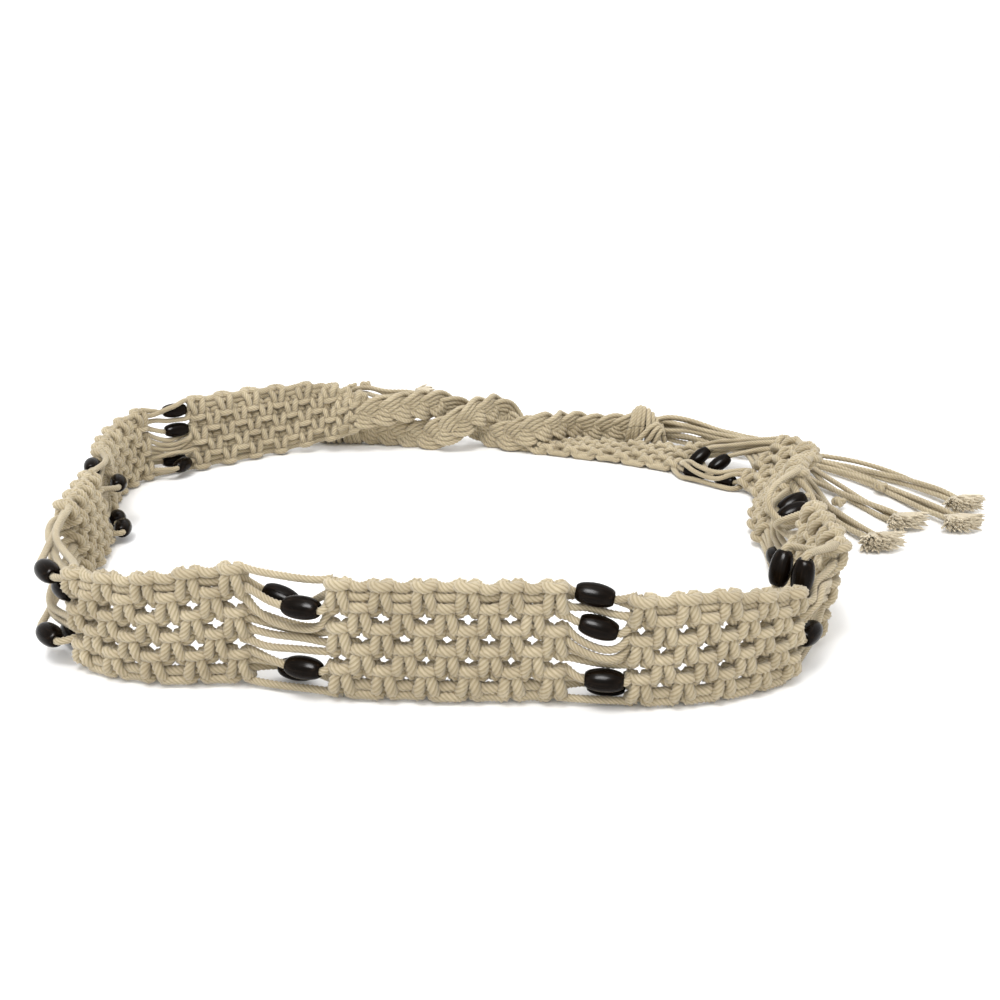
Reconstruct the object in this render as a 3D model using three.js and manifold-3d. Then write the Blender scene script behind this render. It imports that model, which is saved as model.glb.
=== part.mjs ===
// A knotted cotton cord belt with wooden beads. It stands on its lower edge in a closed loop,
// and its two plaited ties are wound round each other at the back.
// Millimetres, +Z up. The front of the belt faces -Y, and +X is to the right of somebody facing it.
import * as THREE from "three";
import { mergeVertices } from "three/addons/utils/BufferGeometryUtils.js";
import Module from "manifold-3d";

const wasm = await Module();
wasm.setup();

// Driving dimensions
const CORD = 4; // diameter of every cord
const GAP = 0.3; // space kept between pieces that touch
const BAND_THICKNESS = 7; // two cords crossing over two others, pressed together
const HOLE_ALONG = 4.6; // opening between four knots, along the band
const HOLE_ACROSS = 4.4; // the same opening, across the band
const BEAD = { length: 15.5, radius: 4.9, end: 3.4, barrel: 5.2, hole: 2.5, sides: 10 };
const BUNDLE = { across: 8, through: 7 }; // the four middle cords of a gap, lying together
const PLAIT = { across: 15.5, through: 8, lobe: 14, swing: 1.2 }; // three strands of four cords
const KNOT = { across: 12, through: 9, wrap: 9.5, cord: 4.4, slant: 17 }; // round body and one turn
const LOCK = 4.1; // radius of three tassel cords lying together
const BLOCK = { along: 20, up: 80, through: 60 }; // cuts off cords, larger than any of their ends
const OUTLINE_MIDDLE = { x: 9.8, y: 553.8 }; // middle of the outline, which becomes the origin

// Knots lie in five staggered rows. Odd columns have a knot in rows 1, 3 and 5, even ones in 2 and 4.
const ROWS = [0.184, 0.363, 0.542, 0.721, 0.9]; // height of each row as a share of the width

// The band's lower edge, seen from above, from the left tie round the front to the right tie.
// lean tips the band outwards in degrees, width is its height when upright, and a station with
// ends: true is where knotting starts or stops.
const STATIONS = [
  { x: -98, y: 688, z: 19, lean: 0, width: 21, ends: true },
  { x: -112, y: 690, z: 11, lean: 0, width: 35 },
  { x: -130, y: 693, z: 6, lean: 0, width: 42 },
  { x: -157, y: 687, z: 0, lean: 0, width: 47 },
  { x: -184, y: 666, z: 0, lean: 0, width: 48 },
  { x: -207, y: 647, z: 0, lean: 0, width: 48, ends: true },
  { x: -231, y: 629, z: 0, lean: 0, width: 46, ends: true },
  { x: -240, y: 602, z: 0, lean: 0, width: 42 },
  { x: -237, y: 572, z: 0, lean: 0, width: 40 },
  { x: -229, y: 549, z: 0, lean: 0, width: 41, ends: true },
  { x: -218, y: 515, z: 0, lean: 5, width: 41, ends: true },
  { x: -210, y: 476, z: 0, lean: 8, width: 41 },
  { x: -207, y: 429, z: 0, lean: 5, width: 41, ends: true },
  { x: -198, y: 399, z: 0, lean: 0, width: 42 },
  { x: -176, y: 376, z: 0, lean: 0, width: 44, ends: true },
  { x: -144, y: 362, z: 0, lean: 0, width: 47 },
  { x: -101, y: 361, z: 0, lean: 0, width: 52, ends: true },
  { x: -66, y: 351, z: 0, lean: 0, width: 50, ends: true },
  { x: -21, y: 348, z: 0, lean: 0, width: 50 },
  { x: 25, y: 347, z: 0, lean: 0, width: 50, ends: true },
  { x: 50, y: 344, z: 0, lean: 0, width: 46, ends: true },
  { x: 85, y: 348, z: 0, lean: 0, width: 46 },
  { x: 120, y: 366, z: 0, lean: 0, width: 40, ends: true },
  { x: 137, y: 395, z: 0, lean: 8, width: 46, ends: true },
  { x: 138, y: 451, z: 0, lean: 15, width: 47, ends: true },
  { x: 142, y: 508, z: 0, lean: 22, width: 46, ends: true },
  { x: 147, y: 544, z: 0, lean: 30, width: 46 },
  { x: 157, y: 576, z: 0, lean: 42, width: 46 },
  { x: 151, y: 605, z: 0, lean: 54, width: 45, ends: true },
  { x: 117, y: 637, z: 0, lean: 80, width: 41, ends: true },
  { x: 84, y: 658, z: 0, lean: 87, width: 35 },
  { x: 44, y: 676, z: 0, lean: 87, width: 29 },
  { x: 28, y: 683, z: 0, lean: 87, width: 19, ends: true },
];

// Columns of knots in each woven panel, left tie to right tie
const COLUMNS = [13, 11, 11, 9, 11, 9, 7, 11, 11];

// Each bead sits on one of the cords that cross a gap. along, up and out place its middle from the
// end of the panel before it, turn swings its far end outwards and tilt lifts it, in degrees.
// leaves and enters are the heights of its cord at the two panels, as shares of their width, and
// a bead with follows: true sits on the same cord as the bead before it.
const BEADS = [
  { gap: 1, along: 9.5, up: 43.5, out: 0, turn: 0, tilt: 0, leaves: 0.92, enters: 0.92 },
  { gap: 1, along: 9.5, up: 30.3, out: 0, turn: 0, tilt: 0, leaves: 0.68, enters: 0.68 },
  { gap: 1, along: 12, up: 8.3, out: 5.5, turn: 0, tilt: 0, leaves: 0.24, enters: 0.22 },
  { gap: 1, along: 10, up: 8.3, out: -8.5, turn: -45, tilt: 0, leaves: 0.14, enters: 0.1 },
  { gap: 2, along: 13.3, up: 38.5, out: 3, turn: 0, tilt: 0, leaves: 0.92, enters: 0.92 },
  { gap: 2, along: 10, up: 26.2, out: -8.5, turn: 0, tilt: 0, leaves: 0.68, enters: 0.72 },
  { gap: 2, along: 14.5, up: 6.2, out: -5.5, turn: 0, tilt: 0, leaves: 0.24, enters: 0.24 },
  { gap: 2, along: 32, up: 6.2, out: -9.4, turn: 0, tilt: 0, follows: true },
  { gap: 3, along: 44, up: 38.6, out: 1, turn: 0, tilt: 0, leaves: 0.92, enters: 0.92 },
  { gap: 3, along: 45, up: 29.2, out: -4.5, turn: 0, tilt: 0, leaves: 0.72, enters: 0.68 },
  { gap: 3, along: 50, up: 12.8, out: 6, turn: 0, tilt: 0, leaves: 0.28, enters: 0.28 },
  { gap: 3, along: 41, up: 6.2, out: -6, turn: 0, tilt: 0, leaves: 0.1, enters: 0.1 },
  { gap: 4, along: 12, up: 38, out: -6, turn: 0, tilt: -16, leaves: 0.86, enters: 0.7 },
  { gap: 4, along: 27.5, up: 41, out: 5.5, turn: 0, tilt: 0, leaves: 0.78, enters: 0.86 },
  { gap: 4, along: 26, up: 14, out: 4, turn: 0, tilt: 0, leaves: 0.26, enters: 0.26 },
  { gap: 4, along: 16, up: 5.7, out: -7, turn: 0, tilt: 0, leaves: 0.1, enters: 0.1 },
  { gap: 5, along: 11, up: 46.5, out: -2, turn: 0, tilt: -8, leaves: 0.95, enters: 0.9 },
  { gap: 5, along: 13, up: 34.4, out: 1, turn: 0, tilt: -13, leaves: 0.74, enters: 0.66 },
  { gap: 5, along: 16, up: 13.4, out: 4, turn: 0, tilt: 0, leaves: 0.27, enters: 0.27 },
  { gap: 5, along: 16.5, up: 5.7, out: -6.5, turn: 0, tilt: 0, leaves: 0.1, enters: 0.1 },
  { gap: 6, along: 11.5, up: 42, out: -14.8, turn: 0, tilt: 72, leaves: 0.7, enters: 0.8 },
  { gap: 6, along: 7.8, up: 42.6, out: -3.6, turn: 0, tilt: 84, leaves: 0.74, enters: 0.94 },
  { gap: 6, along: 11, up: 17, out: 1, turn: 0, tilt: 0, leaves: 0.36, enters: 0.36 },
  { gap: 6, along: 20, up: 6.6, out: -8, turn: 0, tilt: 0, leaves: 0.1, enters: 0.1 },
  { gap: 7, along: 38, up: 34, out: 0, turn: 70, tilt: 45, leaves: 0.05, enters: 0.95 },
  { gap: 7, along: 14, up: 29, out: 12, turn: 41, tilt: -44, leaves: 0.92, enters: 0.3 },
  { gap: 7, along: 26, up: 33, out: -1, turn: -102, tilt: -40, leaves: 0.98, enters: 0.15 },
  { gap: 7, along: 24, up: 8, out: 0, turn: 0, tilt: 0, leaves: 0.12, enters: 0.12 },
  { gap: 8, along: 38.2, up: 18.8, out: -2.4, turn: 42, tilt: -50, leaves: 0.93, enters: 0.5 },
  { gap: 8, along: 22, up: 14.6, out: -1.2, turn: 25, tilt: -58, leaves: 0.72, enters: 0.3 },
  { gap: 8, along: 9.5, up: 0.6, out: -2.4, turn: 0, tilt: 0, leaves: 0.1, enters: 0.08 },
  { gap: 8, along: 31.5, up: -0.4, out: -2.3, turn: 0, tilt: 0, follows: true },
];

// The four middle cords of each gap, lying together. up and out place them halfway over the gap,
// and leaves and enters are their heights at the two panels, as for the cords of the beads.
const BUNDLES = [
  { gap: 1, up: 19.3, out: 0, leaves: 0.41, enters: 0.42 },
  { gap: 2, up: 16, out: 0, leaves: 0.42, enters: 0.42 },
  { gap: 3, up: 20.6, out: 0, leaves: 0.5, enters: 0.46 },
  { gap: 4, up: 26.5, out: 0, leaves: 0.5, enters: 0.5 },
  { gap: 5, up: 24, out: 0, leaves: 0.48, enters: 0.48 },
  { gap: 6, up: 30, out: 0, leaves: 0.62, enters: 0.62 },
  { gap: 7, up: 18, out: 0, leaves: 0.36, enters: 0.4 },
  { gap: 8, up: 41.5, out: 0, leaves: 0.75, enters: 0.9 },
];

// Middle lines of the two plaited ties, from the panel to the knot. roll turns the flat side of the
// plait away from upright, in degrees.
const LEFT_TIE = [
  { x: -96.2, y: 687.5, z: 29.5, roll: 0 },
  { x: -76, y: 690, z: 32, roll: 0 },
  { x: -60, y: 698, z: 32.5, roll: 0 },
  { x: -45, y: 706, z: 31, roll: 0 },
  { x: -29, y: 710, z: 24, roll: 0 },
  { x: -14, y: 709, z: 14, roll: 0 },
  { x: 0, y: 700, z: 9.6, roll: 0 },
  { x: 13, y: 691, z: 13.5, roll: 0 },
  { x: 25, y: 688, z: 18.8, roll: 0 },
  { x: 37, y: 693, z: 18.2, roll: 0 },
  { x: 51, y: 705, z: 16, roll: 0 },
  { x: 71, y: 709, z: 12.5, roll: 0 },
  { x: 93.9, y: 705.5, z: 14, roll: 0 },
];
const RIGHT_TIE = [
  { x: 30, y: 692.6, z: 4.2, roll: 90 },
  { x: 21, y: 698, z: 4.8, roll: 85 },
  { x: 13, y: 707, z: 9, roll: 45 },
  { x: 7, y: 713, z: 18, roll: 10 },
  { x: -1, y: 711, z: 26, roll: 0 },
  { x: -9, y: 703, z: 28.5, roll: 0 },
  { x: -19, y: 695, z: 27, roll: 0 },
  { x: -31, y: 690.5, z: 20, roll: 0 },
  { x: -45, y: 696, z: 12.5, roll: 0 },
  { x: -61, y: 704, z: 9.4, roll: 0 },
  { x: -78, y: 709, z: 9.4, roll: 0 },
  { x: -105, y: 713, z: 12, roll: 0 },
];

// The overhand knots, with lean turning each about the vertical in degrees, and the tassels' cords:
// [x, y, z] of each lock of three cords, from the knot to its cut end
const LEFT_KNOT = { x: 103, y: 704, z: 15, lean: 12 };
const LEFT_LOCKS = [
  [
    [118, 703, 21], [134, 697, 21], [160, 686, 15], [186, 680, 9], [214, 664, 5],
    [240, 642, 4.3], [260, 616, 4.3], [272, 588, 4.3], [281, 558, 4.3],
  ],
  [
    [120, 702, 13], [138, 692, 14], [162, 680, 9], [190, 668, 4.5], [216, 646, 4.3],
    [236, 616, 4.3], [250, 584, 4.3], [258, 556, 4.3], [265, 526, 4.3],
  ],
  [
    [119, 707, 9], [138, 699, 7], [165, 694, 5], [195, 684, 4.3], [205, 644, 4.3],
    [208, 608, 4.3], [216, 582, 4.3], [226, 558, 4.3], [235, 528, 4.3],
  ],
  [
    [119, 709, 17], [136, 706, 13], [166, 704, 8], [194, 692, 4.3], [199, 652, 4.3],
    [197, 608, 4.3], [196, 570, 4.3], [202, 532, 4.3], [209, 496, 4.3],
  ],
];
const RIGHT_KNOT = { x: -114, y: 714, z: 13.5, lean: -10 };
const RIGHT_LOCKS = [
  [
    [-124, 716, 16], [-140, 722, 17], [-158, 736, 10], [-180, 742, 4.5], [-206, 736, 4.3],
    [-226, 716, 4.3], [-240, 690, 4.3], [-250, 668, 4.3],
  ],
  [
    [-124, 713, 12], [-142, 714, 8], [-164, 712, 4.6], [-190, 706, 4.3], [-210, 690, 4.3],
    [-228, 670, 4.3], [-250, 648, 4.3], [-262, 632, 4.3],
  ],
  [
    [-122, 718, 10], [-138, 728, 6], [-156, 746, 4.3], [-150, 764, 4.3], [-124, 768, 4.3],
    [-96, 758, 4.3], [-70, 748, 4.3], [-50, 738, 4.3],
  ],
  [
    [-118, 720, 19], [-124, 730, 27], [-112, 734, 34], [-98, 724, 38], [-84, 713, 38],
    [-70, 713, 38], [-58, 716, 36],
  ],
];

const COTTON = { color: 0xcdbd97, roughness: 0.92, metalness: 0 };
const DARK_WOOD = { color: 0x1d1512, roughness: 0.34, metalness: 0 };

// Curves of the band. The path runs through the stations, and the trend carries lean and width.
const path = new THREE.CatmullRomCurve3(STATIONS.map((s) => new THREE.Vector3(s.x, s.y, s.z)));
const trend = new THREE.CatmullRomCurve3(
  STATIONS.map((s) => new THREE.Vector3(s.lean, s.width, 0)),
  false,
  "catmullrom",
);
const FINENESS = 16; // straight steps that measure the length between two stations
path.arcLengthDivisions = FINENESS * (STATIONS.length - 1);
const LENGTHS = path.getLengths();
const UP = new THREE.Vector3(0, 0, 1);

// The stations where knotting starts or stops, as distances along the path
const EDGES = STATIONS.flatMap(({ ends }, i) => (ends ? [LENGTHS[FINENESS * i]] : []));

// The band's own axes at a distance along the path
function bandFrame(distance) {
  const t = path.getUtoTmapping(0, distance);
  const base = path.getPoint(t);
  const tangent = path.getTangent(t).setZ(0).normalize();
  const away = new THREE.Vector3(tangent.y, -tangent.x, 0);
  const { x: lean, y: width } = trend.getPoint(t);
  const angle = THREE.MathUtils.degToRad(lean);
  base.z = Math.max(base.z, 0) + (BAND_THICKNESS / 2) * Math.abs(Math.sin(angle));
  const rise = UP.clone().multiplyScalar(Math.cos(angle)).addScaledVector(away, Math.sin(angle));
  const outward = away.clone().multiplyScalar(Math.cos(angle)).addScaledVector(UP, -Math.sin(angle));
  return { base, tangent, rise, outward, width };
}

// A point of the band: distance along it, up from its lower edge and out from its middle layer
function onBand(distance, up, out) {
  const { base, rise, outward } = bandFrame(distance);
  return base.addScaledVector(rise, up).addScaledVector(outward, out);
}

// A closed geometry as a solid that can be joined and cut
function solidOf(geometry) {
  const bare = geometry.clone();
  bare.deleteAttribute("normal");
  bare.deleteAttribute("uv");
  const merged = mergeVertices(bare, 1e-4);
  const vertProperties = new Float32Array(merged.attributes.position.array);
  const triVerts = new Uint32Array(merged.index.array);
  return new wasm.Manifold(new wasm.Mesh({ numProp: 3, vertProperties, triVerts }));
}

function fused(solids) {
  return solids.reduce((whole, next) => whole.add(next));
}

function meshOf(name, solid, finish) {
  const { vertProperties, triVerts } = solid.getMesh();
  const geometry = new THREE.BufferGeometry();
  geometry.setAttribute("position", new THREE.BufferAttribute(vertProperties, 3));
  geometry.setIndex(new THREE.BufferAttribute(triVerts, 1));
  geometry.computeVertexNormals();
  const mesh = new THREE.Mesh(geometry, new THREE.MeshStandardMaterial(finish));
  mesh.name = name;
  return mesh;
}

// A line through given points, with one ring of the swept section at each of them
class PointLine extends THREE.Curve {
  constructor(points) {
    super();
    this.points = points;
  }

  getPoint(t, target = new THREE.Vector3()) {
    const place = t * (this.points.length - 1);
    const i = Math.min(Math.floor(place), this.points.length - 2);
    return target.lerpVectors(this.points[i], this.points[i + 1], place - i);
  }

  getPointAt(u, target) {
    return this.getPoint(u, target);
  }

  getTangentAt(u) {
    const i = Math.round(u * (this.points.length - 1));
    const before = this.points[Math.max(i - 1, 0)];
    const after = this.points[Math.min(i + 1, this.points.length - 1)];
    return new THREE.Vector3().subVectors(after, before).normalize();
  }
}

function ringShape(sides, halfWidth, halfHeight) {
  const corners = Array.from({ length: sides }, (_, i) => {
    const angle = (2 * Math.PI * (i + 0.5)) / sides;
    return new THREE.Vector2(halfWidth * Math.cos(angle), halfHeight * Math.sin(angle));
  });
  return new THREE.Shape(corners);
}

// A cord or bundle swept through the points
function swept(points, shape) {
  const geometry = new THREE.ExtrudeGeometry(shape, {
    steps: points.length - 1,
    bevelEnabled: false,
    extrudePath: new PointLine(points),
  });
  return solidOf(geometry);
}

// One column of the band, flat, from the middle of a column of knots to the middle of the next one.
// Half of each hole is cut from its two sides.
function columnShape(from, to, holesFrom, holesTo) {
  const shape = new THREE.Shape();
  const halfAcross = (row) => HOLE_ACROSS / 2 / row.width;
  shape.moveTo(from, 0);
  shape.lineTo(to, 0);
  for (const row of holesTo) {
    shape.lineTo(to, row.at - halfAcross(row));
    shape.lineTo(to - HOLE_ALONG / 2, row.at);
    shape.lineTo(to, row.at + halfAcross(row));
  }
  shape.lineTo(to, 1);
  shape.lineTo(from, 1);
  for (const row of [...holesFrom].reverse()) {
    shape.lineTo(from, row.at + halfAcross(row));
    shape.lineTo(from + HOLE_ALONG / 2, row.at);
    shape.lineTo(from, row.at - halfAcross(row));
  }
  shape.closePath();
  return shape;
}

// Rows that have a hole at a column: between the knots of its own column
function holesAt(column, columns, distance) {
  if (column <= 1 || column >= columns) {
    return [];
  }
  const { width } = bandFrame(distance);
  const rows = column % 2 === 1 ? [ROWS[1], ROWS[3]] : [ROWS[2]];
  return rows.map((at) => ({ at, width }));
}

// A woven panel: flat columns bent onto the band, joined where they meet
function panelSolid(start, end, columns) {
  const pitch = (end - start) / columns;
  const middles = [start];
  for (let column = 1; column <= columns; column += 1) {
    middles.push(start + (column - 0.5) * pitch);
  }
  middles.push(end);
  const corners = [];
  for (let i = 0; i < middles.length - 1; i += 1) {
    const [from, to] = [middles[i], middles[i + 1]];
    const shape = columnShape(from, to, holesAt(i, columns, from), holesAt(i + 1, columns, to));
    const tile = new THREE.ExtrudeGeometry(shape, { depth: 1, steps: 1, bevelEnabled: false });
    const flat = tile.attributes.position;
    const inner = middles.slice(1, -1).map(Math.fround);
    for (let v = 0; v < flat.count; v += 3) {
      const [a, b, c] = [flat.getX(v), flat.getX(v + 1), flat.getX(v + 2)];
      if (a === b && b === c && inner.includes(a)) {
        continue; // a face between two columns, which the joined panel does not have
      }
      for (let k = v; k < v + 3; k += 1) {
        const up = flat.getY(k) * bandFrame(flat.getX(k)).width;
        const out = (flat.getZ(k) - 0.5) * BAND_THICKNESS;
        corners.push(...onBand(flat.getX(k), up, out).toArray());
      }
    }
  }
  const geometry = new THREE.BufferGeometry();
  geometry.setAttribute("position", new THREE.Float32BufferAttribute(corners, 3));
  return solidOf(geometry);
}

// Middle and direction of a bead
function beadPlace(bead, gapStart) {
  const { tangent, rise, outward } = bandFrame(gapStart + bead.along);
  const turn = THREE.MathUtils.degToRad(bead.turn);
  const tilt = THREE.MathUtils.degToRad(bead.tilt);
  const axis = tangent.clone().multiplyScalar(Math.cos(turn) * Math.cos(tilt));
  axis.addScaledVector(outward, Math.sin(turn) * Math.cos(tilt));
  axis.addScaledVector(rise, Math.sin(tilt));
  return { middle: onBand(gapStart + bead.along, bead.up, bead.out), axis };
}

function beadMesh(name, { middle, axis }) {
  const half = BEAD.length / 2;
  const profile = [
    [BEAD.hole, -half],
    [BEAD.end, -half],
    [BEAD.radius, -BEAD.barrel / 2],
    [BEAD.radius, BEAD.barrel / 2],
    [BEAD.end, half],
    [BEAD.hole, half],
    [BEAD.hole, -half],
  ];
  const geometry = new THREE.LatheGeometry(profile.map(([r, y]) => new THREE.Vector2(r, y)), BEAD.sides);
  const mesh = new THREE.Mesh(geometry, new THREE.MeshStandardMaterial(DARK_WOOD));
  mesh.name = name;
  mesh.position.copy(middle);
  mesh.quaternion.setFromUnitVectors(new THREE.Vector3(0, 1, 0), axis);
  return mesh;
}

// A cord with its beads: from inside the panel before the gap, straight through each bead and into
// the panel after it
function beadCord(threaded, gapStart, gapEnd) {
  const { leaves, enters } = threaded[0];
  const points = [onBand(gapStart - CORD, leaves * bandFrame(gapStart).width, 0)];
  const reach = BEAD.length / 2 + (threaded.length > 1 ? 0.2 : 0.7) * CORD;
  for (const bead of threaded) {
    const { middle, axis } = beadPlace(bead, gapStart);
    points.push(middle.clone().addScaledVector(axis, -reach), middle.clone().addScaledVector(axis, reach));
  }
  points.push(onBand(gapEnd + CORD, enters * bandFrame(gapEnd).width, 0));
  return swept(points, ringShape(5, CORD / 2, CORD / 2));
}

function bundleSolid(bundle, gapStart, gapEnd) {
  const leaveUp = bundle.leaves * bandFrame(gapStart).width;
  const enterUp = bundle.enters * bandFrame(gapEnd).width;
  const third = (gapEnd - gapStart) / 3;
  const points = [
    onBand(gapStart - CORD, leaveUp, 0),
    onBand(gapStart + third, bundle.up, bundle.out),
    onBand(gapEnd - third, bundle.up, bundle.out),
    onBand(gapEnd + CORD, enterUp, 0),
  ];
  return swept(points, ringShape(6, BUNDLE.across / 2, BUNDLE.through / 2));
}

// What lies past a point of the band: a block that cuts the cords of a gap off at the next panel
function blockPast(distance) {
  const { tangent, rise, outward } = bandFrame(distance);
  const block = new THREE.BoxGeometry(BLOCK.along, BLOCK.up, BLOCK.through);
  block.translate(BLOCK.along / 2, BLOCK.up / 3, 0);
  const turned = new THREE.Matrix4().makeBasis(tangent, rise, outward);
  block.applyMatrix4(turned.setPosition(onBand(distance, 0, 0)));
  return solidOf(block);
}

// A plaited tie: a flat eight-sided section that swings from side to side with each lobe
function tieSolid(rows) {
  const line = new THREE.CatmullRomCurve3(rows.map((r) => new THREE.Vector3(r.x, r.y, r.z)));
  const length = line.getLength();
  const steps = 2 * Math.round(length / PLAIT.lobe);
  const shape = ringShape(8, PLAIT.across / 2, PLAIT.through / 2);
  const geometry = new THREE.ExtrudeGeometry(shape, { depth: 1, steps, bevelEnabled: false });
  const place = geometry.attributes.position;
  for (let v = 0; v < place.count; v += 1) {
    const u = place.getZ(v);
    const t = line.getUtoTmapping(u);
    const middle = line.getPoint(t);
    const tangent = line.getTangent(t);
    const row = t * (rows.length - 1);
    const i = Math.min(Math.floor(row), rows.length - 2);
    const roll = THREE.MathUtils.lerp(rows[i].roll, rows[i + 1].roll, row - i);
    const side = new THREE.Vector3().crossVectors(tangent, UP).normalize();
    const across = new THREE.Vector3().crossVectors(side, tangent);
    across.applyAxisAngle(tangent, THREE.MathUtils.degToRad(roll));
    side.applyAxisAngle(tangent, THREE.MathUtils.degToRad(roll));
    const swing = PLAIT.swing * Math.sin(Math.PI * (u * steps + 0.5));
    middle.addScaledVector(across, place.getX(v) + swing);
    middle.addScaledVector(side, place.getY(v));
    place.setXYZ(v, ...middle.toArray());
  }
  return solidOf(geometry);
}

// The overhand knot at the end of a tie with its loose cords, fused to it lock by lock
function tasselSolid(knot, locks) {
  const middle = new THREE.Vector3(knot.x, knot.y, knot.z);
  const body = new THREE.SphereGeometry(1, 8, 5);
  body.scale(KNOT.through, KNOT.through, KNOT.across);
  body.translate(...middle.toArray());
  const wrap = new THREE.TorusGeometry(KNOT.wrap, KNOT.cord, 5, 10);
  wrap.rotateY(THREE.MathUtils.degToRad(90 - KNOT.slant));
  wrap.rotateZ(THREE.MathUtils.degToRad(knot.lean));
  wrap.translate(...middle.toArray());
  const strands = locks.map((points) => {
    const line = [middle, ...points.map((point) => new THREE.Vector3(...point))];
    return swept(line, ringShape(6, LOCK, LOCK));
  });
  return fused([solidOf(body), solidOf(wrap), ...strands]);
}

const belt = new THREE.Group();
const band = new THREE.Group();
band.position.set(-OUTLINE_MIDDLE.x, -OUTLINE_MIDDLE.y, 0);
belt.add(band);

COLUMNS.forEach((columns, i) => {
  const [start, end, next] = EDGES.slice(2 * i, 2 * i + 3);
  let piece = panelSolid(start, end, columns);
  const gap = i + 1;
  if (next !== undefined) {
    const beads = BEADS.filter((bead) => bead.gap === gap);
    const bundle = BUNDLES.find((row) => row.gap === gap);
    const threads = [];
    for (const bead of beads) {
      if (bead.follows) {
        threads.at(-1).push(bead);
      } else {
        threads.push([bead]);
      }
    }
    const cords = threads.map((threaded) => beadCord(threaded, end, next));
    cords.push(bundleSolid(bundle, end, next));
    piece = piece.add(fused(cords).subtract(blockPast(next - GAP)));
    beads.forEach((bead, n) => band.add(beadMesh(`bead_${gap}_${n + 1}`, beadPlace(bead, end))));
  }
  band.add(meshOf(`woven_panel_${gap}`, piece, COTTON));
});

band.add(meshOf("plaited_tie_left", tieSolid(LEFT_TIE), COTTON));
band.add(meshOf("plaited_tie_right", tieSolid(RIGHT_TIE), COTTON));
band.add(meshOf("knotted_tassel_left", tasselSolid(LEFT_KNOT, LEFT_LOCKS), COTTON));
band.add(meshOf("knotted_tassel_right", tasselSolid(RIGHT_KNOT, RIGHT_LOCKS), COTTON));

export default belt;
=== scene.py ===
"""A knotted cotton cord belt with dark wooden beads, standing on its lower edge in a closed loop."""

import math

import bpy
import numpy as np
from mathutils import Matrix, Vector


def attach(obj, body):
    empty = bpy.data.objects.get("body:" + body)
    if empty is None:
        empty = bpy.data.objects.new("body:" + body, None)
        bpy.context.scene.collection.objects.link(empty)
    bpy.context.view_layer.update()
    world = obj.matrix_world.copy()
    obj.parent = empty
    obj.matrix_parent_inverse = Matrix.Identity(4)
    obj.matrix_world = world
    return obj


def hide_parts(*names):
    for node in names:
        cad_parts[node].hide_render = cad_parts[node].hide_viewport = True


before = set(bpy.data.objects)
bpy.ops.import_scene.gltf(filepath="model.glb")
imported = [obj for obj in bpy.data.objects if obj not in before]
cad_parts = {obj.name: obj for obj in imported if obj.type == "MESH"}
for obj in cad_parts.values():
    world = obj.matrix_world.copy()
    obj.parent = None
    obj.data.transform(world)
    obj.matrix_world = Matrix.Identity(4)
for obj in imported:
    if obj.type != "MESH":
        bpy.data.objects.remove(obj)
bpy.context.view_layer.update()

# Sizes are in millimetres up to the meshes, which are in metres. Places are in the solids' own
# axes, whose origin is moved to the middle of the outline when a mesh is made.
MM = 0.001
OUTLINE_MIDDLE = np.array([9.8, 553.8, 0.0])
CORD_RADIUS = 2.12  # in the knots, where the cord is squeezed flat and wide
LOOSE_RADIUS = 1.62  # where a cord crosses a gap pulled tight
TIE_RADIUS = 1.9
TASSEL_RADIUS = 1.7
LAY = 11.5  # length of one full turn of a cord's plies
LAY_SPREAD = 0.06  # how much it varies from cord to cord, as a share
NET_PLIES = 6  # the net's cord lies tighter than the ties' and tassels' cord, so it shows more grooves
LOOSE_PLIES = 4
GROOVE = 0.86  # a groove's distance from the cord's middle, as a share of the radius
PLY_HEIGHT = 0.18  # how far the plies stand out from the grooves, as such a share
RING_STEP = 1.25  # spacing of the rings of a cord's mesh
RING_SIDES = 12
CREST_SHADE_STOP = 0.8  # place of a ply's top in the cotton's painted shade, which is darkest in the grooves, where 1 is a pale frayed fibre
FLOOR_PLAY = 0.1  # how far above the floor a cord is kept
BEAD = {"length": 15.2, "radius": 4.7, "end": 2.5, "hole": 1.8, "sides": 28}
# A tie's plait: the length of one lobe, how far its strands swing up and out, the spacing of a
# strand's cords, how much they lean outwards, how unevenly they lie, the spacing of their points
# and how far they go on into the knot and the panel
PLAIT = {
    "lobe": 14.8, "swing": 4.9, "depth": 2.9, "spacing": 3.1,
    "lean": 0.22, "uneven": 0.12, "step": 2.0, "inside": 5,
}
rng = np.random.default_rng(7)

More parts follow.
